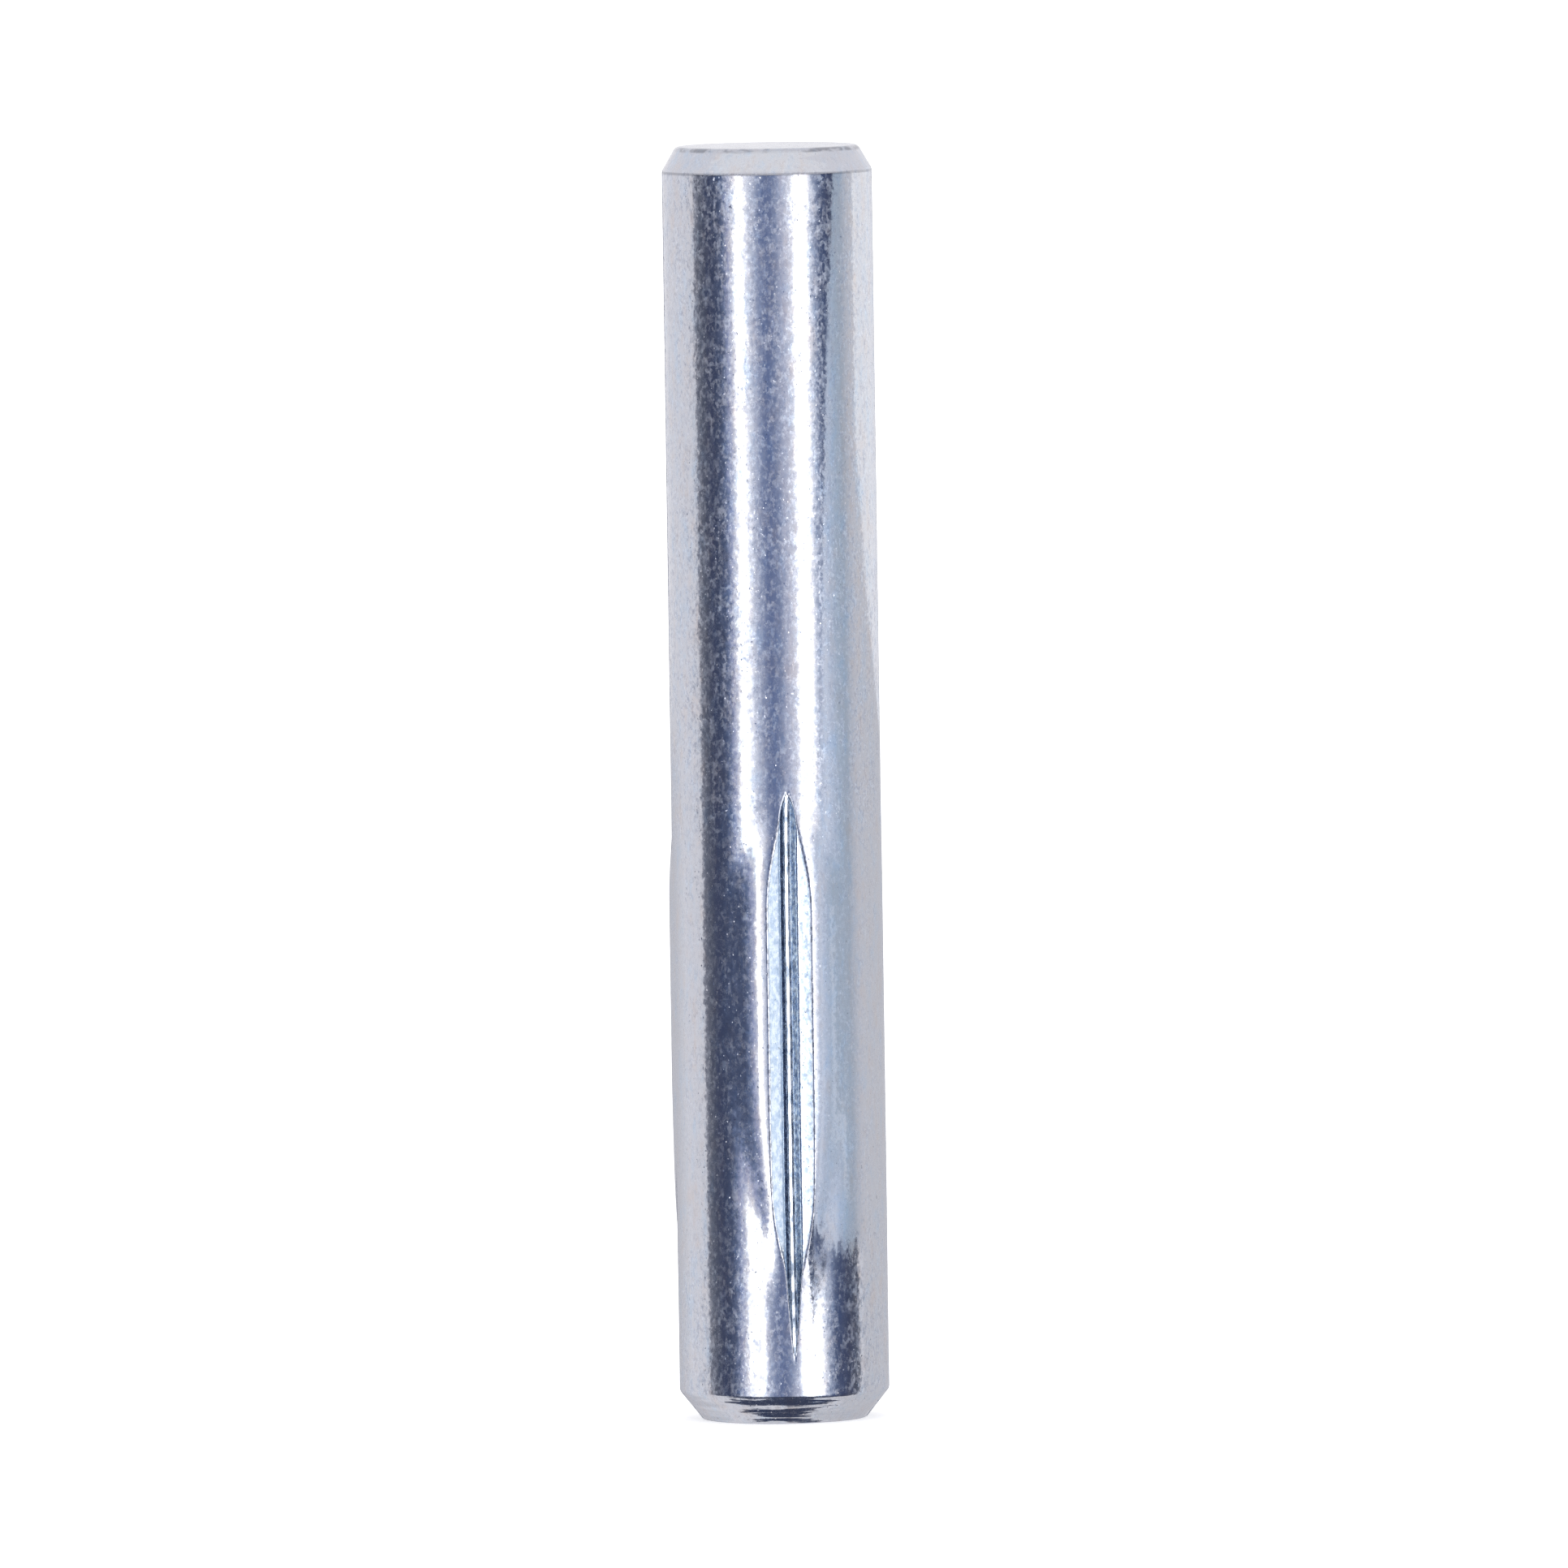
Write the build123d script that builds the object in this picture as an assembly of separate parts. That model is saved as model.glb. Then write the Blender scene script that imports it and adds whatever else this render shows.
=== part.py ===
from build123d import *
import os
from math import acos, asin, cos, degrees, pi, radians, sin, tan

# A solid pin with three grooves pressed into its lower half, standing upright on its chamfered end.
# Millimetres, +Z up along the axis, origin at the centre of the bottom face, one groove facing -Y.

# Plain rod: nominal 10 x 60, drawn inside the tolerances of that size
PIN_DIAMETER = 9.95
PIN_LENGTH = 60.5

# End chamfers: height along the pin, inset towards the axis, and the rounding of their edges
TOP_CHAMFER_HEIGHT = 1.14
TOP_CHAMFER_INSET = 0.66
BOTTOM_CHAMFER_HEIGHT = 1.36
BOTTOM_CHAMFER_INSET = 1.08
SHANK_EDGE_ROUND = 0.3
FACE_EDGE_ROUND = 0.12

# Grooves: depth below the plain surface, and how they run out. The low end rises along one long arc.
# The high end rises a little along a gentle arc, then leaves the surface round the die's small corner.
GROOVE_COUNT = 3
GROOVE_DEPTH = 0.70
GROOVE_LOW_END = 3.2
GROOVE_LOW_RAMP = 8.5
GROOVE_HIGH_END = 29.95
GROOVE_HIGH_RAMP = 4.8
GROOVE_HIGH_LIFT = 0.16
GROOVE_HIGH_CORNER = 1.5

# Die that presses the grooves: a rounded tip and steep walls cut the narrow slot, and beyond a rounded knee
# shallow flanks, easing a little towards the lips, draw the surface in
TIP_ROUND = 0.097
TIP_SLOPE = 59.0
KNEE_HALF_WIDTH = 0.4
KNEE_ROUND = 0.24
FLANK_SLOPE = 21.5
LIP_SLOPE = 19.5
LIP_HALF_WIDTH = 1.08
DIE_CLEARANCE = 0.3

# Shoulders: material raised beside each groove, and the faint swelling of the surface between them.
# They rise over a ramp and spread out over a longer one from each end, where they are narrowest.
SHOULDER_RISE = 0.235
SHANK_SWELL = 0.012
SHOULDER_CREST_ANGLE = 11.4
SHOULDER_FADE_ANGLE = 22.5
SHOULDER_END_SHARE = 0.48
SHOULDER_LOW_END = 5.5
SHOULDER_LOW_RAMP = 5.5
SHOULDER_LOW_SPREAD = 12.0
SHOULDER_HIGH_END = 30.0
SHOULDER_HIGH_RAMP = 5.5
SHOULDER_HIGH_SPREAD = 5.0
SKIN_OVERLAP = 0.008
SECTION_POINTS = 72
SECTION_COUNT = 25

PIN_RADIUS = PIN_DIAMETER / 2
GROOVE_PITCH = 360 / GROOVE_COUNT
GROOVE_BOTTOM_RADIUS = PIN_RADIUS - GROOVE_DEPTH
DIE_HEIGHT = GROOVE_DEPTH + SHOULDER_RISE + DIE_CLEARANCE


def ease(t):
    """Smooth step from 0 to 1, level at both ends."""
    return 0.5 - 0.5 * cos(pi * min(max(t, 0), 1))


def blank():
    """Plain turned rod with its two chamfered ends."""
    top_radius = PIN_RADIUS - TOP_CHAMFER_INSET
    bottom_radius = PIN_RADIUS - BOTTOM_CHAMFER_INSET
    with BuildPart() as rod:
        with BuildSketch(Plane.XZ):
            with BuildLine():
                Polyline(
                    (0, 0),
                    (bottom_radius, 0),
                    (PIN_RADIUS, BOTTOM_CHAMFER_HEIGHT),
                    (PIN_RADIUS, PIN_LENGTH - TOP_CHAMFER_HEIGHT),
                    (top_radius, PIN_LENGTH),
                    (0, PIN_LENGTH),
                    close=True,
                )
            make_face()
            by_radius = vertices().group_by(Axis.X)
            fillet(by_radius[-1], SHANK_EDGE_ROUND)
            fillet(by_radius[1] + by_radius[2], FACE_EDGE_ROUND)
        revolve(axis=Axis.Z)
    return rod.part


def breadth(height):
    """Share of the shoulders' full breadth at a height: they narrow with the groove towards both ends."""
    from_low = ease((height - SHOULDER_LOW_END) / SHOULDER_LOW_SPREAD)
    from_high = ease((SHOULDER_HIGH_END - height) / SHOULDER_HIGH_SPREAD)
    return SHOULDER_END_SHARE + (1 - SHOULDER_END_SHARE) * from_low * from_high


def around(angle, height):
    """Share of the full shoulder rise at an angle from the nearest groove."""
    offset = abs((angle + GROOVE_PITCH / 2) % GROOVE_PITCH - GROOVE_PITCH / 2)
    return 1 - ease((offset / breadth(height) - SHOULDER_CREST_ANGLE) / SHOULDER_FADE_ANGLE)


def along(height):
    """Share of the full shoulder rise at a height above the bottom face."""
    from_low = ease((height - SHOULDER_LOW_END) / SHOULDER_LOW_RAMP)
    from_high = ease((SHOULDER_HIGH_END - height) / SHOULDER_HIGH_RAMP)
    return from_low * from_high


def shoulder_section(height):
    """Cross-section of the swollen length at one height."""
    points = []
    for step in range(SECTION_POINTS):
        angle = 360 * step / SECTION_POINTS
        rise = SHANK_SWELL + (SHOULDER_RISE - SHANK_SWELL) * around(angle, height) + SKIN_OVERLAP
        radius = PIN_RADIUS - SKIN_OVERLAP + rise * along(height)
        turned = radians(angle - 90)
        points.append(Vector(radius * cos(turned), radius * sin(turned), height))
    even = [step / SECTION_POINTS for step in range(SECTION_POINTS + 1)]
    return Wire([Edge.make_spline(points, periodic=True, parameters=even)])


def shoulders():
    """Swollen length of the pin, smooth along and around."""
    span = SHOULDER_HIGH_END - SHOULDER_LOW_END
    heights = [SHOULDER_LOW_END + span * step / (SECTION_COUNT - 1) for step in range(SECTION_COUNT)]
    return Solid.make_loft([shoulder_section(height) for height in heights])


def arc_radius(run, lift):
    """Radius of the arc that starts level and rises by lift over a run."""
    return (run**2 + lift**2) / (2 * lift)


def die_path():
    """Line that the die tip follows in the plane of the axis, lifting clear of the rod at both ends."""
    clear = GROOVE_DEPTH + DIE_CLEARANCE
    low_radius = arc_radius(GROOVE_LOW_RAMP, GROOVE_DEPTH)
    low_sweep = degrees(acos(1 - clear / low_radius))
    gentle_radius = arc_radius(GROOVE_HIGH_RAMP, GROOVE_HIGH_LIFT)
    gentle = asin(GROOVE_HIGH_RAMP / gentle_radius)
    leaving = acos(cos(gentle) - (GROOVE_DEPTH - GROOVE_HIGH_LIFT) / GROOVE_HIGH_CORNER)
    steepest = acos(cos(gentle) - (clear - GROOVE_HIGH_LIFT) / GROOVE_HIGH_CORNER)
    corner_run = GROOVE_HIGH_CORNER * (sin(leaving) - sin(gentle))
    low = (-GROOVE_BOTTOM_RADIUS, GROOVE_LOW_END + GROOVE_LOW_RAMP)
    high = (-GROOVE_BOTTOM_RADIUS, GROOVE_HIGH_END - corner_run - GROOVE_HIGH_RAMP)
    with BuildLine(Plane.YZ) as path:
        Line(low, high)
        JernArc(start=low, tangent=(0, -1), radius=low_radius, arc_size=-low_sweep)
        bend = JernArc(start=high, tangent=(0, 1), radius=gentle_radius, arc_size=degrees(gentle))
        sweep_left = degrees(steepest - gentle)
        JernArc(start=bend @ 1, tangent=bend % 1, radius=GROOVE_HIGH_CORNER, arc_size=sweep_left)
    return path.wire()


def die():
    """Solid swept by the die, facing -Y."""
    path = die_path()
    tip_x = TIP_ROUND * sin(radians(TIP_SLOPE))
    tip_y = TIP_ROUND * (1 - cos(radians(TIP_SLOPE)))
    knee_y = tip_y + (KNEE_HALF_WIDTH - tip_x) * tan(radians(TIP_SLOPE))
    chord_slope = (FLANK_SLOPE + LIP_SLOPE) / 2
    lip_y = knee_y + (LIP_HALF_WIDTH - KNEE_HALF_WIDTH) * tan(radians(chord_slope))
    top_x = LIP_HALF_WIDTH + (DIE_HEIGHT - lip_y) / tan(radians(LIP_SLOPE))
    leaving = (cos(radians(FLANK_SLOPE)), -sin(radians(FLANK_SLOPE)))
    start = Plane(origin=path @ 0, x_dir=(1, 0, 0), z_dir=path % 0)
    with BuildSketch(start) as section:
        with BuildLine():
            ThreePointArc((-tip_x, -tip_y), (0, 0), (tip_x, -tip_y))
            Line((tip_x, -tip_y), (KNEE_HALF_WIDTH, -knee_y))
            TangentArc((KNEE_HALF_WIDTH, -knee_y), (LIP_HALF_WIDTH, -lip_y), tangent=leaving)
            Line((LIP_HALF_WIDTH, -lip_y), (top_x, -DIE_HEIGHT))
            mirror(about=Plane.YZ)
            Line((top_x, -DIE_HEIGHT), (-top_x, -DIE_HEIGHT))
        make_face()
        by_height = vertices().group_by(Axis.Y)
        fillet(by_height[-2], KNEE_ROUND)
    return sweep(section.sketch, path=path, transition=Transition.ROUND)


def grooved_pin():
    """The whole pin: rod, raised shoulders, and the grooves pressed between them."""
    tool = die()
    tools = [tool.rotate(Axis.Z, GROOVE_PITCH * turn) for turn in range(GROOVE_COUNT)]
    return blank() + shoulders() - tools


os.makedirs("parts", exist_ok=True)
export_step(grooved_pin(), "parts/grooved_pin.step")
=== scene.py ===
from math import acos, asin, cos, pi, radians, sin, tan

import bpy
import numpy as np
from mathutils import Matrix, Vector


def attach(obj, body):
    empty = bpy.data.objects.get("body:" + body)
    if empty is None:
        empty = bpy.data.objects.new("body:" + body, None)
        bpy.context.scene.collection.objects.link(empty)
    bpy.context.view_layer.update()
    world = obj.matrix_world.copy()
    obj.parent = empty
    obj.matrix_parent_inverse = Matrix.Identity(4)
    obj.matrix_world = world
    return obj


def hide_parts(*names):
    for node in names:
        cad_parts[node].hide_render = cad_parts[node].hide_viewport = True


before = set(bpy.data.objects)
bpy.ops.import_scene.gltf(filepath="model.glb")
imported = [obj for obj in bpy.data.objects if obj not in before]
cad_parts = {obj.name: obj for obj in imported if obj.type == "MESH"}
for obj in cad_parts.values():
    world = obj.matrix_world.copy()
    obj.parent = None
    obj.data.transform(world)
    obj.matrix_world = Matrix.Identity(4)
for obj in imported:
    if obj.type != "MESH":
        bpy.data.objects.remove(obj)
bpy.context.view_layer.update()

MM = 0.001

# The pin's real sizes, the same as in the solid. Lengths are in millimetres and slopes in radians,
# heights are above the bottom face, and turns about the axis are in degrees from -Y.
PIN_RADIUS = 4.975
PIN_LENGTH = 60.5
TOP_CHAMFER_HEIGHT = 1.14
TOP_CHAMFER_INSET = 0.66
BOTTOM_CHAMFER_HEIGHT = 1.36
BOTTOM_CHAMFER_INSET = 1.08
SHANK_EDGE_ROUND = 0.3
FACE_EDGE_ROUND = 0.12

GROOVE_PITCH = 120.0
GROOVE_DEPTH = 0.70
GROOVE_LOW_END = 3.2
GROOVE_LOW_RAMP = 8.5
GROOVE_HIGH_END = 29.95
GROOVE_HIGH_RAMP = 4.8
GROOVE_HIGH_LIFT = 0.16
GROOVE_HIGH_CORNER = 1.5
TIP_ROUND = 0.097
TIP_SLOPE = radians(59.0)
KNEE_HALF_WIDTH = 0.4
KNEE_ROUND = 0.24
FLANK_SLOPE = radians(21.5)
LIP_SLOPE = radians(19.5)
LIP_HALF_WIDTH = 1.08

SHOULDER_RISE = 0.235
SHANK_SWELL = 0.012
SHOULDER_CREST_ANGLE = 11.4
SHOULDER_FADE_ANGLE = 22.5
SHOULDER_END_SHARE = 0.48
SHOULDER_LOW_END = 5.5
SHOULDER_LOW_RAMP = 5.5
SHOULDER_LOW_SPREAD = 12.0
SHOULDER_HIGH_END = 30.0
SHOULDER_HIGH_RAMP = 5.5
SHOULDER_HIGH_SPREAD = 5.0

# Roundings that only this skin has: the softer edges of the top end, and the grooves' lips
TOP_SHANK_ROUND = 0.6
TOP_FACE_ROUND = 0.35
LIP_ROUND = 0.028

# How the groove's surface is worked out: how far beyond the groove's ends and lips, the radius that stands
# for no groove, the widest turn in radians, the limits of the radius, and how it is approached
GROOVE_MARGIN = 1.0
DIE_OVERLAP = 3.0
DIE_ARC_POINTS = 12
NO_GROOVE_RADIUS = PIN_RADIUS + 2
GROOVE_WIDEST_TURN = 0.6
LEAST_RADIUS = 3
GREATEST_RADIUS = 8
APPROACH_STEPS = 40
APPROACH_SHARE = 0.8

# Rows of the skin, close together beside the grooves and far apart along the plain half, and its columns,
# as (from, to, step) in turns from a groove's middle
FIRST_ROW_GAP = 0.15
GROOVE_ROW_STEP = 0.155
GROOVE_ROWS_TOP = 30.6
PLAIN_ROWS_LOW = 32.0
PLAIN_ROW_STEP = 3.0
LAST_ROW_GAP = 1.0
FACE_ROW_SHARES = (0.25, 0.6, 0.85, 0.93)
COLUMN_SPANS = (
    (0, 1.5, 0.15), (1.5, 5.7, 0.3), (5.7, 11.1, 0.45),
    (11.1, 13.7, 0.2), (13.7, 17.7, 1.0), (17.7, 60, 3.525))
SPAN_END_GAP = 1e-6
OUT_OF_GROOVE = -1.0

# Colours of the plating, and the painted shade, painted light and painted highlight at the top chamfer's
# edges and in the grooves' slots
PLATING = (0.60, 0.61, 0.655)
BROWN_CLOUD = (0.61, 0.58, 0.59)
BLUE_CLOUD = (0.54, 0.60, 0.69)
GROOVE_TINT_DEEP = (0.38, 0.46, 0.57)
GROOVE_TINT_PALE = (0.56, 0.62, 0.69)
PIT = (0.16, 0.17, 0.2)
# Painted shade of the lines on both edges of the top chamfer
CHAMFER_EDGE_SHADE = (0.13, 0.135, 0.16)
# Painted shade on the slots' left wall, painted light on their right wall, and a painted highlight, bright
# and dim, on their bottom facet
LEFT_WALL_PAINTED_SHADE = (0.05, 0.065, 0.115)
RIGHT_WALL_PAINTED_LIGHT_PALE = (0.95, 1.0, 1.0)
RIGHT_WALL_PAINTED_LIGHT_DEEP = (0.50, 0.60, 0.75)
FACET_PAINTED_HIGHLIGHT_DIM = (0.22, 0.26, 0.33)
FACET_PAINTED_HIGHLIGHT_BRIGHT = (0.93, 0.94, 0.97)
SHADE_DEEP = (0.79, 0.81, 0.87)
SHADE_PALE = (1.15, 1.18, 1.20)

# How far small shapes tip the mirror, and the share of that tilt which is left along the pin
FACET_TILT = (0.04, 0.9)
GRAIN_TILT = 0.11
WAVE_TILT = 0.03
RING_TILT = 0.8
TILT_ALONG = 0.35

# Roughness of the clear mirror and of the dull haze over it
CLEAR_ROUGHNESS = 0.11
DULL_ROUGHNESS = (0.23, 0.41)

# Where marks lie, in millimetres, each edge of a band from outside to inside: beside the lips, on the two
# edges of the top chamfer, where painted shade lines lie, along the rubbed length, and across a slot's walls
# and bottom, where painted shade, painted light and a painted highlight lie
LIP_BAND = (0.07, 0.02)
GROOVE_TINT_EDGE = (0.0, 0.06)
SHANK_LINE_HEIGHT = PIN_LENGTH - TOP_CHAMFER_HEIGHT - 0.07
SHANK_LINE_BAND = (0.09, 0.03)
FACE_LINE_HEIGHT = PIN_LENGTH - 0.11
FACE_LINE_BAND = (0.14, 0.05)
RUBBED_LOW_EDGE = (5.0, 10.0)
RUBBED_HIGH_EDGE = (30.0, 26.0)
LEFT_WALL_SHADE_BAND = ((-0.40, -0.33), (-0.09, -0.14))
RIGHT_WALL_LIGHT_BAND = ((0.06, 0.12), (0.56, 0.42))
FACET_HIGHLIGHT_BAND = ((-0.11, -0.07), (0.07, 0.03))
FACET_TURN = radians(10.4)
SCRATCH_LEAN = radians(24)

# The stage: the cards' distances from the axis, the heights of their edges and how many parts they are
# bent into, the strength of the lights, and the floor, its own light in the camera's eyes, and the world
FAR_CARD = 500
STRIP_CARD = 480
PALE_RIGHT_CARD = 25
GREY_CARD = 14
FAINT_LINE_CARD = 13.8
DARK_FOOT_CARD = 13.6
CARD_LOW = -600
CARD_HIGH = 150
FOOT_LOW = -3
CARD_PARTS = 48
STRIP_LIGHT = 3.4
FOOT_LIGHT = 2.3
NEAR_LIGHT = 1.7
FRONT_LIGHT = 1.4
RIGHT_LIGHT = 1.24
WHITE = (1, 1, 1)
FLOOR_HALF_SIZE = 4000.0
PAPER = (0.8, 0.8, 0.8)
PAPER_LIFT = 0.5
WORLD = (0.96, 0.955, 0.99)

# The photo's view: distance, height of the line of sight, turn about the pin and lean of the picture
VIEW_DISTANCE = 1300.0
VIEW_ELEVATION = 3.5
VIEW_TURN = -6.1
VIEW_ROLL = -0.84
VIEW_NEAREST = 50.0
VIEW_FARTHEST = 20000.0
PIXELS_PER_MM = 25.95
IMAGE_PIXELS = 1932
SENSOR_MM = 36.0
PIN_CENTRE_PIXEL = (955.8, 963.5)


def add_object(name, data):
    """New object of the scene."""
    obj = bpy.data.objects.new(name, data)
    bpy.context.scene.collection.objects.link(obj)
    return obj


# Shape of the pin

def ease(t):
    """Smooth step from 0 to 1, level at both ends."""
    return 0.5 - 0.5 * np.cos(pi * np.clip(t, 0, 1))


def from_groove(turn):
    """Turn from the middle of the nearest groove."""
    return (turn + GROOVE_PITCH / 2) % GROOVE_PITCH - GROOVE_PITCH / 2


def near_groove(height):
    """Whether a groove lies at a height, or close by."""
    return (height > GROOVE_LOW_END - GROOVE_MARGIN) & (height < GROOVE_HIGH_END + GROOVE_MARGIN)


def body_radius(turn, height):
    """Radius of the pin without its grooves."""
    offset = np.abs(from_groove(turn))
    breadth = ease((height - SHOULDER_LOW_END) / SHOULDER_LOW_SPREAD)
    breadth = breadth * ease((SHOULDER_HIGH_END - height) / SHOULDER_HIGH_SPREAD)
    breadth = SHOULDER_END_SHARE + (1 - SHOULDER_END_SHARE) * breadth
    around = 1 - ease((offset / breadth - SHOULDER_CREST_ANGLE) / SHOULDER_FADE_ANGLE)
    along = ease((height - SHOULDER_LOW_END) / SHOULDER_LOW_RAMP)
    along = along * ease((SHOULDER_HIGH_END - height) / SHOULDER_HIGH_RAMP)
    return PIN_RADIUS + along * (SHANK_SWELL + (SHOULDER_RISE - SHANK_SWELL) * around)


def arc_radius(run, lift):
    """Radius of the arc that starts level and rises by lift over a run."""
    return (run**2 + lift**2) / (2 * lift)


def die_profile():
    """Half section of the die, as distances from its middle and heights above its tip."""
    tip = np.linspace(0, TIP_SLOPE, DIE_ARC_POINTS)
    xs = list(TIP_ROUND * np.sin(tip))
    ys = list(TIP_ROUND * (1 - np.cos(tip)))
    knee_y = ys[-1] + (KNEE_HALF_WIDTH - xs[-1]) * tan(TIP_SLOPE)
    reach = KNEE_ROUND * tan((TIP_SLOPE - FLANK_SLOPE) / 2)
    first_x = KNEE_HALF_WIDTH - reach * cos(TIP_SLOPE)
    first_y = knee_y - reach * sin(TIP_SLOPE)
    for slope in np.linspace(TIP_SLOPE, FLANK_SLOPE, DIE_ARC_POINTS):
        xs.append(first_x + KNEE_ROUND * (sin(TIP_SLOPE) - sin(slope)))
        ys.append(first_y + KNEE_ROUND * (cos(slope) - cos(TIP_SLOPE)))
    chord_slope = (FLANK_SLOPE + LIP_SLOPE) / 2
    chord = (LIP_HALF_WIDTH - KNEE_HALF_WIDTH) / cos(chord_slope)
    wall = chord / (2 * sin((FLANK_SLOPE - LIP_SLOPE) / 2))
    for slope in np.linspace(FLANK_SLOPE, LIP_SLOPE, DIE_ARC_POINTS)[1:]:
        xs.append(KNEE_HALF_WIDTH + wall * (sin(FLANK_SLOPE) - sin(slope)))
        ys.append(knee_y + wall * (cos(slope) - cos(FLANK_SLOPE)))
    xs.append(xs[-1] + DIE_OVERLAP)
    ys.append(ys[-1] + DIE_OVERLAP * tan(LIP_SLOPE))
    return np.array(xs), np.array(ys)


DIE_X, DIE_Y = die_profile()


def die_height(x):
    """Height of the die's wall above its tip, at a distance x from its middle."""
    return np.interp(np.abs(x), DIE_X, DIE_Y)


def groove_floor(x, height):
    """Distance of the pressed surface from the pin's axis plane, at a distance x across the groove."""
    wall = die_height(x)
    bottom = PIN_RADIUS - GROOVE_DEPTH

    def lifted(radius, run, centre):
        """Surface that the die leaves at a run along an arc of its tip's path."""
        inside = (radius - wall) ** 2 - run**2
        floor = centre - np.sqrt(np.maximum(inside, 0))
        return np.where((inside > 0) & (wall < radius), floor, NO_GROOVE_RADIUS)

    low_radius = arc_radius(GROOVE_LOW_RAMP, GROOVE_DEPTH)
    low = GROOVE_LOW_END + GROOVE_LOW_RAMP
    gentle_radius = arc_radius(GROOVE_HIGH_RAMP, GROOVE_HIGH_LIFT)
    gentle = asin(GROOVE_HIGH_RAMP / gentle_radius)
    leaving = acos(cos(gentle) - (GROOVE_DEPTH - GROOVE_HIGH_LIFT) / GROOVE_HIGH_CORNER)
    high = GROOVE_HIGH_END - GROOVE_HIGH_CORNER * (sin(leaving) - sin(gentle)) - GROOVE_HIGH_RAMP
    corner_height = high + GROOVE_HIGH_RAMP - GROOVE_HIGH_CORNER * sin(gentle)
    corner_centre = bottom + GROOVE_HIGH_LIFT + GROOVE_HIGH_CORNER * cos(gentle)

    below = lifted(low_radius, np.maximum(low - height, 0), bottom + low_radius)
    above = lifted(gentle_radius, np.maximum(height - high, 0), bottom + gentle_radius)
    leaves = lifted(GROOVE_HIGH_CORNER, np.maximum(height - corner_height, 0), corner_centre)
    bend = high + (gentle_radius - wall) * sin(gentle)
    above = np.where(height > bend, leaves, above)
    return np.where(height < low, below, np.where(height > high, above, bottom + wall))


def groove_radius(turn, height):
    """Radius at which the nearest groove's surface lies, along the direction of turn."""
    offset = np.radians(from_groove(turn))
    offset = np.clip(offset, -GROOVE_WIDEST_TURN, GROOVE_WIDEST_TURN)
    radius = np.full_like(offset, PIN_RADIUS)
    for _ in range(APPROACH_STEPS):
        miss = radius * np.cos(offset) - groove_floor(radius * np.sin(offset), height)
        radius = np.clip(radius - APPROACH_SHARE * miss, LEAST_RADIUS, GREATEST_RADIUS)
    return radius


def smooth_least(a, b, width):
    """The smaller of two surfaces, with their meeting rounded over a width."""
    share = np.clip(0.5 + 0.5 * (b - a) / width, 0, 1)
    return b + (a - b) * share - width * share * (1 - share)


def side_radius(turn, height):
    """Radius of the pin's side, with its grooves and their rounded lips."""
    body = body_radius(turn, height)
    groove = groove_radius(turn, height)
    return np.where(near_groove(height), smooth_least(body, groove, LIP_ROUND), body)


def corner(start, middle, end, rounding, steps):
    """Points of the arc that rounds the corner at middle, from (radius, height) pairs."""
    apex = np.array(middle)
    back = np.array(start) - apex
    on = np.array(end) - apex
    back = back / np.linalg.norm(back)
    on = on / np.linalg.norm(on)
    half = np.arccos(np.clip(back @ on, -1, 1)) / 2
    reach = rounding / tan(half)
    centre = apex + (back + on) / np.linalg.norm(back + on) * rounding / sin(half)
    first = apex + back * reach - centre
    last = apex + on * reach - centre
    spread = np.arccos(np.clip(first @ last / rounding**2, -1, 1))
    points = []
    for k in range(steps + 1):
        t = k / steps
        spoke = (sin((1 - t) * spread) * first + sin(t * spread) * last) / sin(spread)
        points.append(tuple(centre + spoke))
    return points


def columns():
    """Turns at which the mesh has columns, close together across each groove."""
    spans = [np.arange(first, last - SPAN_END_GAP, step) for first, last, step in COLUMN_SPANS]
    half = np.concatenate(spans + [[GROOVE_PITCH / 2]])
    one = np.concatenate([-half[1:-1][::-1], half])
    return np.concatenate([one, one + GROOVE_PITCH, one + 2 * GROOVE_PITCH])


def rows():
    """Outline of the plain rod from the bottom face to the top one, as (radius, height) pairs."""
    low_face = (PIN_RADIUS - BOTTOM_CHAMFER_INSET, 0)
    low_edge = (PIN_RADIUS, BOTTOM_CHAMFER_HEIGHT)
    high_edge = (PIN_RADIUS, PIN_LENGTH - TOP_CHAMFER_HEIGHT)
    high_face = (PIN_RADIUS - TOP_CHAMFER_INSET, PIN_LENGTH)
    low = corner((0, 0), low_face, low_edge, FACE_EDGE_ROUND, steps=5)
    low += corner(low_face, low_edge, high_edge, SHANK_EDGE_ROUND, steps=8)
    high = corner(low_edge, high_edge, high_face, TOP_SHANK_ROUND, steps=8)
    high += corner(high_edge, high_face, (0, PIN_LENGTH), TOP_FACE_ROUND, steps=7)
    beside_grooves = np.arange(low[-1][1] + FIRST_ROW_GAP, GROOVE_ROWS_TOP, GROOVE_ROW_STEP)
    plain = np.arange(PLAIN_ROWS_LOW, high[0][1] - LAST_ROW_GAP, PLAIN_ROW_STEP)
    side = [(PIN_RADIUS, float(height)) for height in (*beside_grooves, *plain)]
    bottom = [(low_face[0] * share, 0.0) for share in FACE_ROW_SHARES]
    top = [(high_face[0] * share, PIN_LENGTH) for share in reversed(FACE_ROW_SHARES)]
    return bottom + low + side + high + top


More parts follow.
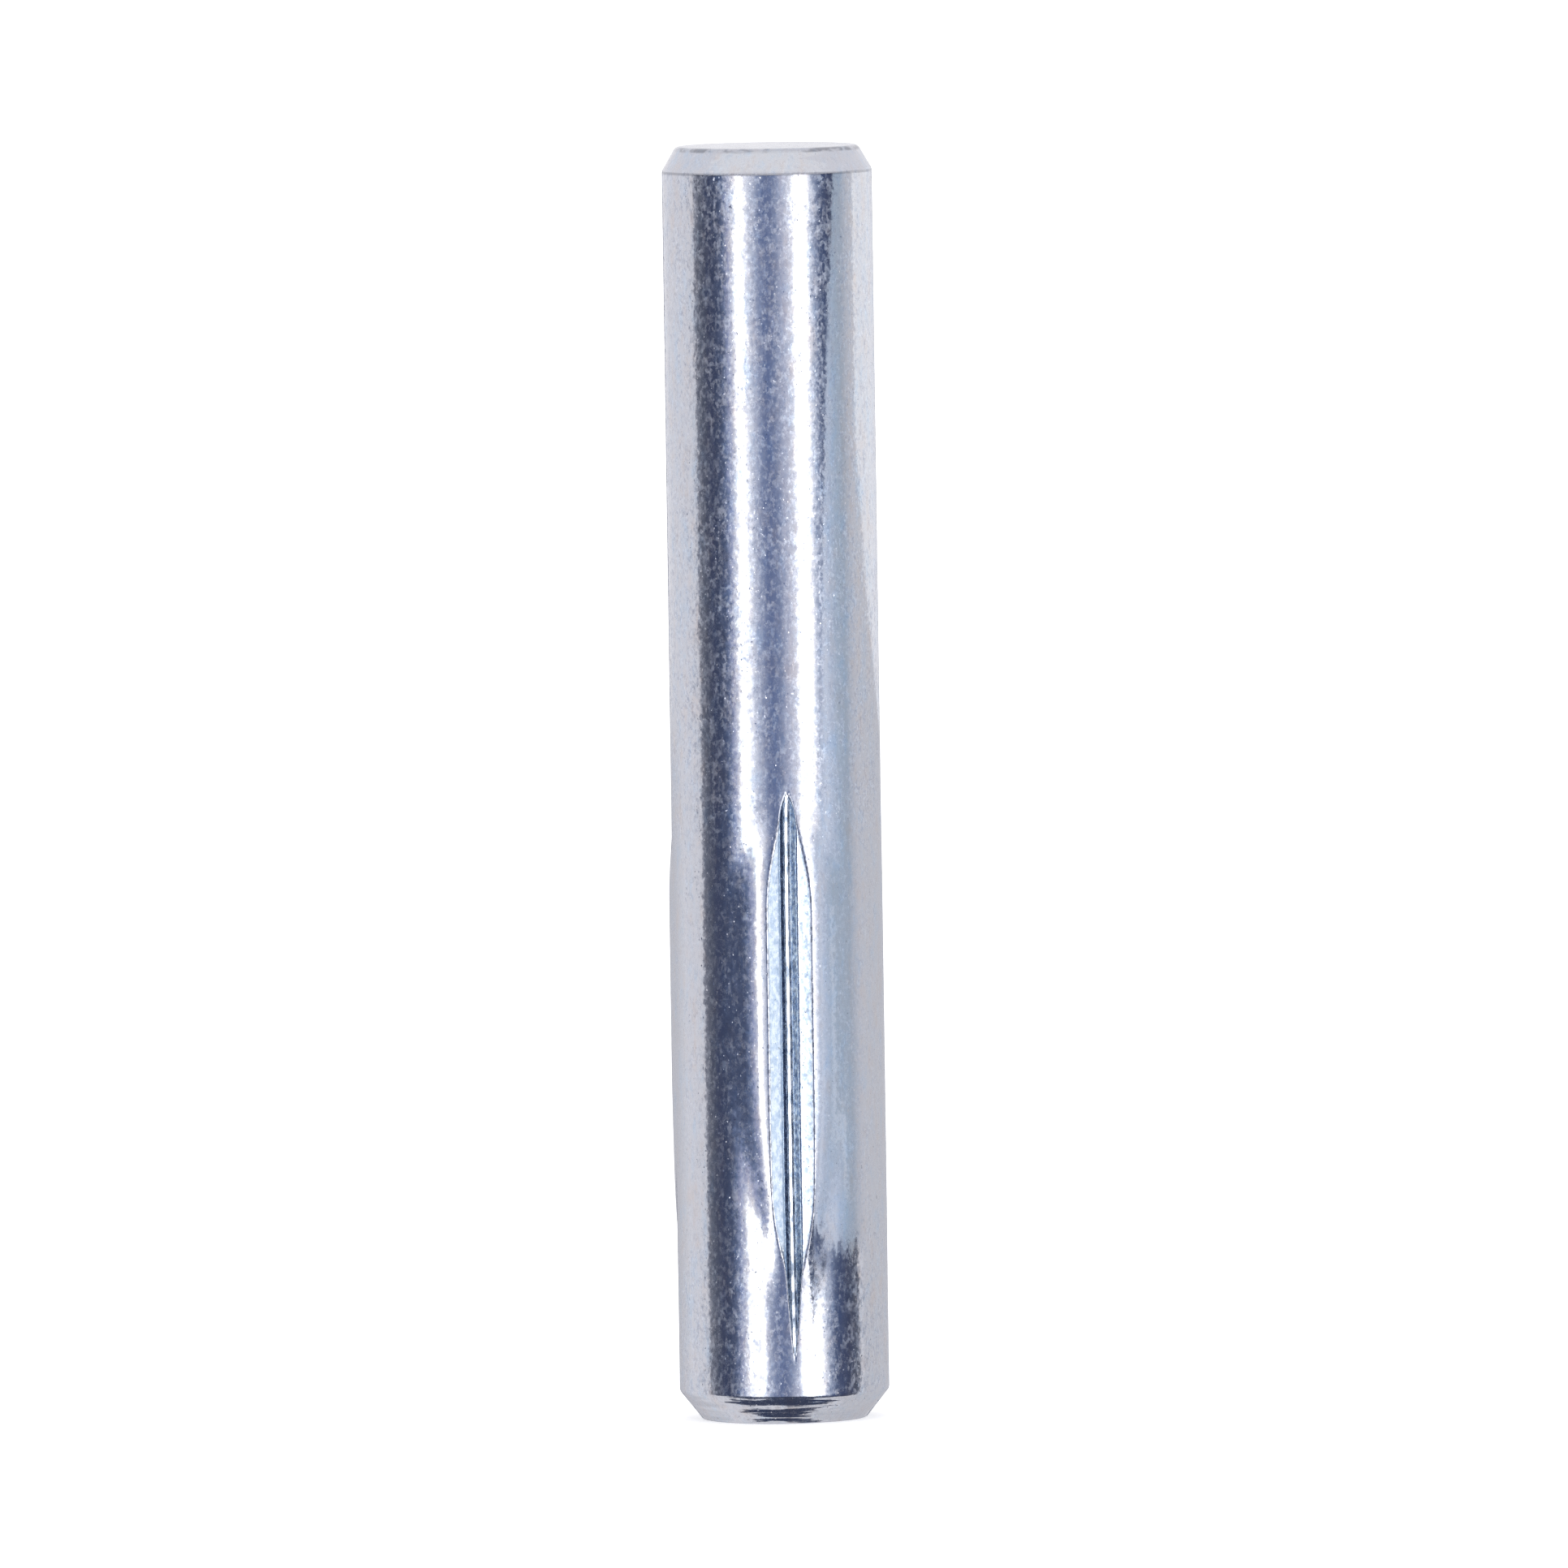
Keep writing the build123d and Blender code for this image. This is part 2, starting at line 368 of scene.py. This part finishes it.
def build_pin():
    """Whole skin of the pin as one closed mesh. Two values go with each of its points: the depth below
    the body where a groove is pressed, and the signed distance across the nearest groove."""
    turns = columns()
    outline = rows()
    angle = np.radians(turns - 90)
    points = []
    pressed = []
    across = []
    for radius, height in outline:
        level = np.full_like(turns, height)
        r = side_radius(turns, level) + (radius - PIN_RADIUS)
        points.append(np.stack([r * np.cos(angle), r * np.sin(angle), level], 1))
        depth = body_radius(turns, level) - groove_radius(turns, level)
        pressed.append(depth if near_groove(height) else np.full_like(turns, OUT_OF_GROOVE))
        across.append(r * np.sin(np.radians(from_groove(turns))))
    face_centres = np.array([[0, 0, 0], [0, 0, PIN_LENGTH]])
    places = np.concatenate(points + [face_centres]) * MM

    count = len(turns)
    last = (len(outline) - 1) * count
    bottom = last + count
    faces = []
    for row in range(0, last, count):
        for i in range(count):
            k = (i + 1) % count
            faces.append((row + i, row + k, row + count + k, row + count + i))
    for i in range(count):
        k = (i + 1) % count
        faces.append((bottom, k, i))
        faces.append((bottom + 1, last + i, last + k))

    mesh = bpy.data.meshes.new("grooved_pin_skin")
    mesh.from_pydata(places.tolist(), [], faces)
    mesh.shade_smooth()
    for name, values in (("press", pressed), ("across", across)):
        values = np.concatenate(values + [np.array([OUT_OF_GROOVE, OUT_OF_GROOVE])]).astype(np.float32)
        mesh.attributes.new(name, "FLOAT", "POINT").data.foreach_set("value", values)
    obj = add_object("grooved_pin_skin", mesh)
    print("pin mesh", len(places), "points,", len(faces), "faces, mended:", mesh.validate())
    return obj


# Nodes of a material

def new_material(name):
    """Empty material, and a function that adds one node to it with its inputs set or linked."""
    material = bpy.data.materials.new(name)
    material.use_nodes = True
    tree = material.node_tree
    tree.nodes.clear()

    def make(kind, inputs=None, **settings):
        node = tree.nodes.new("ShaderNode" + kind)
        for key, value in settings.items():
            setattr(node, key, value)
        for key, value in (inputs or {}).items():
            socket = node.inputs[key]
            if isinstance(value, bpy.types.NodeSocket):
                tree.links.new(value, socket)
            else:
                socket.default_value = value
        return node

    return material, make


def math_node(make, operation, a, b=0.0, c=0.0, clamp=False):
    return make("Math", {0: a, 1: b, 2: c}, operation=operation, use_clamp=clamp).outputs[0]


def vector_node(make, operation, a, b=None, scale=None):
    inputs = {0: a}
    if b is not None:
        inputs[1] = b
    if scale is not None:
        inputs["Scale"] = scale
    node = make("VectorMath", inputs, operation=operation)
    return node.outputs["Value" if operation == "LENGTH" else "Vector"]


def product(make, first, *others):
    """All the values multiplied together."""
    for other in others:
        first = math_node(make, "MULTIPLY", first, other)
    return first


def remainder(make, value):
    """What a value leaves of 1."""
    return math_node(make, "SUBTRACT", 1.0, value)


def mix(make, share, first, second):
    """First colour, with a share of the second one. A colour is a socket or three numbers."""
    first, second = ((*colour, 1) if isinstance(colour, tuple) else colour for colour in (first, second))
    return make("MixRGB", {0: share, 1: first, 2: second}).outputs[0]


def mapped(make, place, scale, shift=0.0, turn=(0, 0, 0)):
    """Place stretched and turned for a pattern, and shifted so that no two patterns look alike."""
    inputs = {"Vector": place, "Location": (shift, 0, 0), "Rotation": turn, "Scale": scale}
    return make("Mapping", inputs).outputs[0]


def pattern(make, place, detail, roughness):
    """Noise with features about 1 across."""
    return make("TexNoise", {"Vector": place, "Scale": 1.0, "Detail": detail, "Roughness": roughness})


def noise(make, place, size, detail=2.0, roughness=0.5, stretch=1.0, shift=0.0):
    """Noise whose features are about size millimetres across, and stretch times as long along the pin."""
    scale = (1 / size, 1 / size, 1 / size / stretch)
    return pattern(make, mapped(make, place, scale, shift), detail, roughness)


def centred(make, node):
    """Noise's colour as a vector about zero."""
    return vector_node(make, "SUBTRACT", node.outputs["Color"], (0.5, 0.5, 0.5))


def window(make, value, low, high, to_low=0.0, to_high=1.0):
    """Value carried smoothly from low..high to to_low..to_high, and held there beyond."""
    inputs = {"Value": value, "From Min": low, "From Max": high, "To Min": to_low, "To Max": to_high}
    return make("MapRange", inputs, interpolation_type="SMOOTHSTEP").outputs[0]


def line_at(make, value, centre, band):
    """1 where a value is close to centre, fading out over a band of distances from it."""
    away = math_node(make, "ABSOLUTE", math_node(make, "SUBTRACT", value, centre))
    return window(make, away, *band)


# The pin's material

def grain_tilt(make, place, blotch, amount):
    """Tilt of an almost perfect mirror with faint waves, grains and a few small facets that tip far."""
    facets = centred(make, noise(make, place, 0.11, 1.0, 0.5, 1.4))
    far = window(make, vector_node(make, "LENGTH", facets), 0.27, 0.36, *FACET_TILT)
    facets = vector_node(make, "SCALE", facets, scale=product(make, amount, far))
    grains = centred(make, noise(make, place, 0.22, 2.0, 0.5, 1.4, 20.0))
    grains = vector_node(make, "SCALE", grains, scale=product(make, amount, GRAIN_TILT))
    waves = vector_node(make, "SCALE", centred(make, blotch), scale=WAVE_TILT)
    tilt = vector_node(make, "ADD", vector_node(make, "ADD", facets, grains), waves)
    return vector_node(make, "MULTIPLY", tilt, (1.0, 1.0, TILT_ALONG))


def ring_tilt(make, place, lean, turned):
    """Tilt of the fine turned lines that run round the two chamfers and the faces."""
    coarse = window(make, lean, -0.1, 0.1, 1.0, 0.5)
    rings = pattern(make, mapped(make, place, (0.35, 0.35, 9.0)), 2.0, 0.6).outputs["Fac"]
    bands = pattern(make, mapped(make, place, (0.2, 0.2, 3.3), 5.0), 1.0, 0.5).outputs["Fac"]
    rings = math_node(make, "SUBTRACT", math_node(make, "ADD", rings, bands), 1.0)
    rings = product(make, turned, coarse, rings, RING_TILT)
    return make("CombineXYZ", {"Z": rings}).outputs[0]


def plating_colour(make, place, press, inside):
    """Faint blue and brown clouds, a darker, bluer mottled colour in the grooves, dark pits, and specks along
    the lips.
    """
    cloud = noise(make, place, 0.7, 4.0, 0.7, 2.5, 150.0).outputs["Fac"]
    colour = mix(make, window(make, cloud, 0.5, 0.72), PLATING, BROWN_CLOUD)
    colour = mix(make, window(make, cloud, 0.5, 0.28), colour, BLUE_CLOUD)
    groove_tint = noise(make, place, 0.17, 2.0, 0.6, 2.0, 500.0).outputs["Fac"]
    groove_tint = mix(make, window(make, groove_tint, 0.38, 0.62), GROOVE_TINT_DEEP, GROOVE_TINT_PALE)
    colour = mix(make, inside, colour, groove_tint)
    pits = noise(make, place, 0.16, 1.0, 0.5, 1.2, 200.0).outputs["Fac"]
    pits = product(make, window(make, pits, 0.74, 0.80), 0.55)
    along_lip = window(make, math_node(make, "ABSOLUTE", press), *LIP_BAND)
    dots = noise(make, place, 0.12, 1.0, 0.5, 2.0, 260.0).outputs["Fac"]
    dots = product(make, window(make, dots, 0.5, 0.58, 0.15, 1.0), along_lip, 0.75)
    return mix(make, math_node(make, "MAXIMUM", pits, dots), colour, PIT)


def chamfer_edge_shade_lines(make, place, height, colour):
    """Colour with a painted shade line, dark and uneven, on both edges of the top chamfer."""
    shank_shade_line = product(make, line_at(make, height, SHANK_LINE_HEIGHT, SHANK_LINE_BAND), 0.42)
    # Patchy strength of the painted shade along the face's edge, standing in for the shade of small dents
    dent_shade = noise(make, place, 0.8, 2.0, 0.6, 0.5, 410.0).outputs["Fac"]
    dent_shade = window(make, dent_shade, 0.42, 0.62, 0.12, 0.6)
    face_shade_line = product(make, line_at(make, height, FACE_LINE_HEIGHT, FACE_LINE_BAND), dent_shade)
    return mix(make, math_node(make, "MAXIMUM", shank_shade_line, face_shade_line), colour, CHAMFER_EDGE_SHADE)


def haze_share(make, place, height, amount, turned):
    """Share of the soft, uneven haze over the mirror, which scatters the lights and mottles whatever lies
    near their reflections. It is weaker where the pin is rubbed or turned, and a few scratches cross it."""
    speck = noise(make, place, 0.24, 3.0, 0.7, 1.5, 320.0).outputs["Fac"]
    streak = noise(make, place, 0.13, 2.0, 0.5, 9.0, 340.0).outputs["Fac"]
    cells = mapped(make, place, (7.5, 7.5, 5.5), 7.0)
    cells = make("TexVoronoi", {"Vector": cells, "Scale": 1.0, "Smoothness": 0.35}, feature="SMOOTH_F1")
    cells = make("SeparateXYZ", {0: cells.outputs["Color"]}).outputs[0]
    cells = product(make, math_node(make, "SUBTRACT", cells, 0.5), 0.24)
    haze = math_node(make, "ADD", mix(make, 0.22, speck, streak), cells)
    limits = {"From Min": 0.40, "From Max": 0.61, "To Min": 0.0, "To Max": 0.95}
    haze = make("MapRange", {"Value": haze, **limits}).outputs[0]
    rubbed_low = window(make, height, *RUBBED_LOW_EDGE)
    rubbed_high = window(make, height, *RUBBED_HIGH_EDGE, 0.0, 0.5)
    rubbed = product(make, rubbed_low, rubbed_high)
    haze = product(make, haze, amount, remainder(make, product(make, turned, 0.6)), remainder(make, rubbed))
    aslant = mapped(make, place, (16, 16, 0.35), 3.0, (0, SCRATCH_LEAN, 0))
    scratches = pattern(make, aslant, 1.0, 0.5).outputs["Fac"]
    scratches = window(make, scratches, 0.76, 0.80, 0.0, 0.4)
    return math_node(make, "ADD", haze, scratches, clamp=True)


def slot_part(make, across, inside, band):
    """1 on one part of the grooves' slots, a band across them."""
    rising, falling = band
    return product(make, window(make, across, *rising), window(make, across, *falling), inside)


def slot_shade_and_light(make, place, colour, left, right, facet):
    """Colour with painted shade on the slots' left wall, flecked painted light on their right wall and a
    painted highlight on their bottom facet.
    """
    fleck = noise(make, place, 0.12, 1.5, 0.5, 1.8, 440.0).outputs["Fac"]
    dark = product(make, left, window(make, fleck, 0.60, 0.44, 0.15, 0.65))
    colour = mix(make, dark, colour, LEFT_WALL_PAINTED_SHADE)
    wall = mix(make, window(make, fleck, 0.42, 0.60), RIGHT_WALL_PAINTED_LIGHT_PALE, RIGHT_WALL_PAINTED_LIGHT_DEEP)
    colour = mix(make, right, colour, wall)
    painted_highlight = noise(make, place, 0.25, 3.0, 0.6, 3.5, 530.0).outputs["Fac"]
    painted_highlight = mix(make, window(make, painted_highlight, 0.38, 0.58), FACET_PAINTED_HIGHLIGHT_DIM, FACET_PAINTED_HIGHLIGHT_BRIGHT)
    return mix(make, facet, colour, painted_highlight)


def slot_normal(make, place, normal, facet):
    """Normal that is turned a little aside on the slots' bottom facet, to face the light beside it."""
    outward = vector_node(make, "MULTIPLY", place, (1.0, 1.0, 0.0))
    aside = make("VectorRotate", {"Vector": outward, "Axis": (0, 0, 1), "Angle": FACET_TURN}).outputs[0]
    aside = vector_node(make, "SCALE", vector_node(make, "NORMALIZE", aside), scale=facet)
    normal = vector_node(make, "SCALE", normal, scale=remainder(make, facet))
    return vector_node(make, "NORMALIZE", vector_node(make, "ADD", normal, aside))


def zinc():
    """Bright bluish zinc plating: a clear mirror under a dull, uneven haze."""
    material, make = new_material("zinc_plating")
    metres = make("TexCoord").outputs["Object"]
    place = vector_node(make, "SCALE", metres, scale=1 / MM)
    height = make("SeparateXYZ", {0: place}).outputs["Z"]
    flat = make("NewGeometry").outputs["Normal"]
    lean = make("SeparateXYZ", {0: flat}).outputs["Z"]
    turned = window(make, math_node(make, "ABSOLUTE", lean), 0.2, 0.4)
    press = make("Attribute", attribute_name="press").outputs["Fac"]
    across = make("Attribute", attribute_name="across").outputs["Fac"]
    inside = window(make, press, *GROOVE_TINT_EDGE)

    # Everything uneven comes in blotches, and these in wide patches
    blotch = noise(make, place, 0.9, 2.0, 0.5, 1.6, 40.0)
    patch = noise(make, place, 2.6, 2.0, 0.5, 2.5, 90.0)
    busy = window(make, blotch.outputs["Fac"], 0.36, 0.64, 0.7, 1.1)
    cluster = window(make, patch.outputs["Fac"], 0.35, 0.65, 0.85, 1.15)
    amount = product(make, busy, cluster)

    tilt = grain_tilt(make, place, blotch, amount)
    tilt = vector_node(make, "ADD", tilt, ring_tilt(make, place, lean, turned))
    normal = vector_node(make, "NORMALIZE", vector_node(make, "ADD", flat, tilt))
    colour = plating_colour(make, place, press, inside)
    # Painted shade lines on both edges of the top chamfer
    colour = chamfer_edge_shade_lines(make, place, height, colour)
    haze = haze_share(make, place, height, amount, turned)

    # Bands of the slots' painted shade, painted light and painted highlight; the last also turns the normal
    left, right, facet = (
        slot_part(make, across, inside, band) for band in (LEFT_WALL_SHADE_BAND, RIGHT_WALL_LIGHT_BAND, FACET_HIGHLIGHT_BAND))
    colour = slot_shade_and_light(make, place, colour, left, right, facet)
    normal = slot_normal(make, place, normal, facet)
    haze = product(make, haze, remainder(make, product(make, left, 0.8)))

    spread = noise(make, place, 0.35, 2.0, 0.5, 1.5, 360.0).outputs["Fac"]
    spread = window(make, spread, 0.35, 0.65, *DULL_ROUGHNESS)
    shade = noise(make, place, 0.13, 2.0, 0.6, 1.4, 470.0).outputs["Fac"]
    shade = mix(make, window(make, shade, 0.36, 0.64), SHADE_DEEP, SHADE_PALE)
    shaded = make("MixRGB", {0: 1.0, 1: colour, 2: shade}, blend_type="MULTIPLY").outputs[0]
    metal = {"Metallic": 1.0, "Normal": normal}
    clear = make("BsdfPrincipled", {**metal, "Base Color": colour, "Roughness": CLEAR_ROUGHNESS})
    dull = make("BsdfPrincipled", {**metal, "Base Color": shaded, "Roughness": spread})
    shader = make("MixShader", {0: haze, 1: clear.outputs[0], 2: dull.outputs[0]})
    make("OutputMaterial", {"Surface": shader.outputs[0]})
    return material


# Stage

def floor_material():
    """Pale paper that looks white to the camera and keeps the soft shadow under the pin."""
    material, make = new_material("pale_floor")
    paper = make("BsdfDiffuse", {"Color": (*PAPER, 1)})
    camera = make("LightPath").outputs["Is Camera Ray"]
    glow = make("Emission", {"Strength": product(make, camera, PAPER_LIFT)})
    both = make("AddShader", {0: paper.outputs[0], 1: glow.outputs[0]})
    make("OutputMaterial", {"Surface": both.outputs[0]})
    return material


def card_material(name, stops, strength):
    """Light that changes across its card, from (share across the card, colour) pairs."""
    material, make = new_material(name)
    across = make("UVMap", uv_map="across").outputs[0]
    across = make("SeparateXYZ", {0: across}).outputs[0]
    ramp = make("ValToRGB", {0: across})
    elements = ramp.color_ramp.elements
    while len(elements) < len(stops):
        elements.new(0.5)
    for element, (share, colour) in zip(elements, stops):
        element.position = share
        element.color = (*colour, 1)
    glow = make("Emission", {"Color": ramp.outputs[0], "Strength": strength})
    make("OutputMaterial", {"Surface": glow.outputs[0]})
    return material


def add_card(name, mesh, stops, strength):
    """Card that is seen only as a reflection."""
    mesh.materials.append(card_material(name, stops, strength))
    obj = add_object(name, mesh)
    obj.visible_camera = False
    obj.visible_shadow = False
    obj.visible_diffuse = False


def card(name, distance, low, high, stops, strength=1.0):
    """Upright curved card around the pin. Stops are (turn in degrees from the camera's direction, colour).
    Each of its edges is level at a height, or follows (turn, height) pairs."""
    first = stops[0][0]
    last = stops[-1][0]
    points = []
    for k in range(CARD_PARTS + 1):
        turn = first + (last - first) * k / CARD_PARTS
        angle = radians(turn + VIEW_TURN)
        for edge in (low, high):
            height = edge if isinstance(edge, (int, float)) else np.interp(turn, *zip(*edge))
            points.append((distance * sin(angle) * MM, -distance * cos(angle) * MM, float(height) * MM))
    faces = [(2 * k, 2 * k + 2, 2 * k + 3, 2 * k + 1) for k in range(CARD_PARTS)]
    mesh = bpy.data.meshes.new(name)
    mesh.from_pydata(points, [], faces)
    across = mesh.uv_layers.new(name="across")
    for loop in mesh.loops:
        across.data[loop.index].uv = (loop.vertex_index // 2 / CARD_PARTS, loop.vertex_index % 2)
    shares = [((turn - first) / (last - first), colour) for turn, colour in stops]
    add_card(name, mesh, shares, strength)


def level_card(name, height, left, right, front, back, colour):
    """Level card of one colour. Its left and right are the camera's, and its back is away from the camera."""
    turn = radians(VIEW_TURN)
    corners = []
    for x, y in ((left, front), (right, front), (right, back), (left, back)):
        across = x * cos(turn) - y * sin(turn)
        away = x * sin(turn) + y * cos(turn)
        corners.append((across * MM, away * MM, height * MM))
    mesh = bpy.data.meshes.new(name)
    mesh.from_pydata(corners, [], [(0, 1, 2, 3)])
    mesh.uv_layers.new(name="across")
    add_card(name, mesh, [(0, colour), (1, colour)], 1.0)


def build_floor():
    """Wide pale floor under the pin, which its metal doesn't show."""
    half = FLOOR_HALF_SIZE * MM
    mesh = bpy.data.meshes.new("floor")
    corners = [(-half, -half, 0), (half, -half, 0), (half, half, 0), (-half, half, 0)]
    mesh.from_pydata(corners, [], [(0, 1, 2, 3)])
    mesh.materials.append(floor_material())
    floor = add_object("floor", mesh)
    floor.visible_glossy = False


def build_front_cards():
    """Far cards on the camera's side: two strips of light, and dark surroundings beside and between them."""
    card("dark_left", FAR_CARD, CARD_LOW, CARD_HIGH, [
        (-89.5, (0.26, 0.27, 0.33)), (-84, (0.17, 0.185, 0.235)), (-76, (0.10, 0.115, 0.17)),
        (-69, (0.07, 0.085, 0.155)), (-62, (0.07, 0.09, 0.16)), (-55, (0.095, 0.125, 0.22)),
        (-50, (0.19, 0.25, 0.41)), (-44, (0.55, 0.60, 0.85))])
    card("strip_light_left", STRIP_CARD, CARD_LOW, CARD_HIGH, [
        (-44.5, (0.155, 0.17, 0.245)), (-42, (0.225, 0.23, 0.265)), (-39.2, (0.31, 0.305, 0.31)),
        (-35.2, WHITE), (-29.9, WHITE), (-26, (0.35, 0.345, 0.36))], STRIP_LIGHT)
    card("dark_front", FAR_CARD, CARD_LOW, CARD_HIGH, [
        (-26.5, (0.92, 0.92, 0.97)), (-23, (0.78, 0.80, 0.86)), (-18.4, (0.52, 0.555, 0.665)),
        (-11.5, (0.27, 0.315, 0.445)), (-4.6, (0.125, 0.165, 0.295)), (2.3, (0.15, 0.19, 0.32)),
        (6.9, (0.205, 0.25, 0.375)), (11.5, (0.375, 0.41, 0.53)), (16.1, (0.47, 0.49, 0.60)),
        (20.7, (0.62, 0.63, 0.71)), (25.5, (0.74, 0.74, 0.79))], FRONT_LIGHT)
    card("strip_light_right", STRIP_CARD, CARD_LOW, CARD_HIGH, [
        (25.8, (0.31, 0.305, 0.32)), (29.9, WHITE), (40.9, WHITE), (44.3, (0.40, 0.39, 0.40)),
        (47.5, (0.32, 0.33, 0.355)), (50, (0.235, 0.26, 0.31))], STRIP_LIGHT)
    card("dark_right", FAR_CARD, CARD_LOW, CARD_HIGH, [
        (49.5, (0.80, 0.86, 1.0)), (52, (0.56, 0.63, 0.80)), (55, (0.27, 0.33, 0.49)),
        (59, (0.11, 0.15, 0.27)), (68, (0.08, 0.105, 0.20)), (76, (0.075, 0.09, 0.155)),
        (92, (0.13, 0.145, 0.19))])


def build_near_cards():
    """Cards close to the pin, whose ends show on it: a grey one on the right, and small ones at the foot."""
    ragged = [
        (32.5, 7.8), (37, 7.0), (41, 7.8), (44.7, 7.2), (48, 8.0), (51, 7.0), (55, 8.1),
        (59, 7.2), (64, 7.9), (69, 7.0), (75, 8.2), (81, 7.3), (89, 7.8)]
    slant = [
        (32.5, 28.4), (43.2, 28.7), (43.4, 30), (44.5, 34), (47.2, 40.8), (51.5, 46.6),
        (54.8, 50.5), (59, 54.3), (64, 58.2), (65, 61), (89, 61)]
    card("grey_right", GREY_CARD, ragged, slant, [
        (32.5, (1.0, 1.0, 1.0)), (37.2, (0.96, 0.97, 1.0)), (39.0, (0.66, 0.70, 0.78)),
        (43.4, (0.42, 0.465, 0.55)), (48, (0.53, 0.57, 0.64)), (53.1, (0.43, 0.48, 0.57)),
        (63.3, (0.32, 0.38, 0.45)), (71.9, (0.31, 0.352, 0.405)), (78, (0.40, 0.417, 0.453)),
        (85, (0.46, 0.46, 0.483)), (89, (0.47, 0.47, 0.49))], NEAR_LIGHT)
    dim = (0.2, 0.21, 0.28)
    fading = (0.45, 0.46, 0.52)
    foot_left = [(-29, 8.6), (-24, 8.4), (-21, 8.1), (-18, 7.4), (-15.5, 6.0), (-13.5, 4.0)]
    card("foot_left", GREY_CARD, FOOT_LOW, foot_left, [
        (-29, WHITE), (-17, WHITE), (-15.2, fading), (-13.5, dim)], FOOT_LIGHT)
    foot_right = [(12, 2.0), (15, 4.2), (18, 5.6), (22, 6.6), (25, 7.0)]
    card("foot_right", GREY_CARD, FOOT_LOW, foot_right, [
        (12, dim), (14, fading), (16.5, WHITE), (25, WHITE)], FOOT_LIGHT)
    under = [(26, 3.4), (30, 4.7), (34, 5.6), (38, 6.4), (42, 7.0)]
    card("dark_foot", DARK_FOOT_CARD, under, 8.6, [(26, (0.10, 0.13, 0.22)), (42, (0.08, 0.105, 0.18))])
    faint = (0.47, 0.52, 0.59)
    card("faint_line", FAINT_LINE_CARD, 10, 24, [(61.5, faint), (64.5, faint)], NEAR_LIGHT)


def build_side_cards():
    """Pale cards at both sides, and a dark one at the back."""
    card("pale_side", STRIP_CARD, CARD_LOW, 80, [(99, (0.78, 0.78, 0.82)), (107, (0.80, 0.80, 0.83))])
    slope = [(97.8, 46), (101.5, 44), (110, 40), (123.4, 36.1), (145.7, 32.3), (160, 31)]
    card("pale_right", PALE_RIGHT_CARD, CARD_LOW, slope, [
        (97.8, (0.80, 0.80, 0.83)), (125, (0.76, 0.76, 0.79)), (150, (0.66, 0.66, 0.70)),
        (160, (0.62, 0.62, 0.66))])
    card("glow_right", FAR_CARD, CARD_LOW, CARD_HIGH, [
        (105, WHITE), (110, WHITE), (114, (0.93, 0.93, 0.94)), (140, (0.91, 0.91, 0.92)),
        (154, (0.82, 0.82, 0.85)), (170, (0.68, 0.68, 0.71))], RIGHT_LIGHT)
    card("pale_left", STRIP_CARD, CARD_LOW, 5, [
        (-172, (0.55, 0.55, 0.59)), (-150, (0.72, 0.72, 0.76)), (-125, (0.94, 0.94, 0.97))])
    dark = (0.085, 0.10, 0.165)
    card("dark_back", FAR_CARD, CARD_LOW, 60, [(171, (0.3, 0.31, 0.36)), (175, dark), (192, dark)])


def build_world():
    """Plain pale surroundings at an even level."""
    world = bpy.data.worlds.new("studio")
    world.use_nodes = True
    bpy.context.scene.world = world
    background = world.node_tree.nodes["Background"]
    background.inputs["Color"].default_value = (*WORLD, 1)
    background.inputs["Strength"].default_value = 1.0


def build_camera():
    """Camera of the photo's view, with the pin where the photo shows it."""
    data = bpy.data.cameras.new("camera")
    camera = add_object("camera", data)
    bpy.context.scene.camera = camera
    data.sensor_width = SENSOR_MM
    data.lens = PIXELS_PER_MM * VIEW_DISTANCE / IMAGE_PIXELS * SENSOR_MM
    data.clip_start = VIEW_NEAREST * MM
    data.clip_end = VIEW_FARTHEST * MM
    turn = radians(VIEW_TURN)
    rise = radians(VIEW_ELEVATION)
    away = Vector((sin(turn) * cos(rise), -cos(turn) * cos(rise), sin(rise)))
    look = -away
    right = look.cross(Vector((0, 0, 1))).normalized()
    up = right.cross(look)
    roll = radians(VIEW_ROLL)
    right, up = right * cos(roll) + up * sin(roll), up * cos(roll) - right * sin(roll)
    centre = Vector((0, 0, PIN_LENGTH / 2))
    dx = (PIN_CENTRE_PIXEL[0] - IMAGE_PIXELS / 2) / PIXELS_PER_MM
    dy = (IMAGE_PIXELS / 2 - PIN_CENTRE_PIXEL[1]) / PIXELS_PER_MM
    place = centre + away * VIEW_DISTANCE - right * dx - up * dy
    basis = Matrix((right, up, -look)).transposed()
    camera.matrix_world = Matrix.Translation(place * MM) @ basis.to_4x4()


bpy.context.scene.view_settings.view_transform = "Standard"

pin = build_pin()
pin.data.materials.append(zinc())
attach(pin, "root")
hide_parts("grooved_pin")

build_floor()
build_front_cards()
build_near_cards()
build_side_cards()
level_card("dark_ground", -600, left=-900, right=900, front=-900, back=8, colour=(0.06, 0.075, 0.13))
level_card("overhead", 900, left=-1400, right=1400, front=-900, back=-150, colour=(1.06, 1.06, 1.075))
build_world()
build_camera()

bpy.context.view_layer.update()
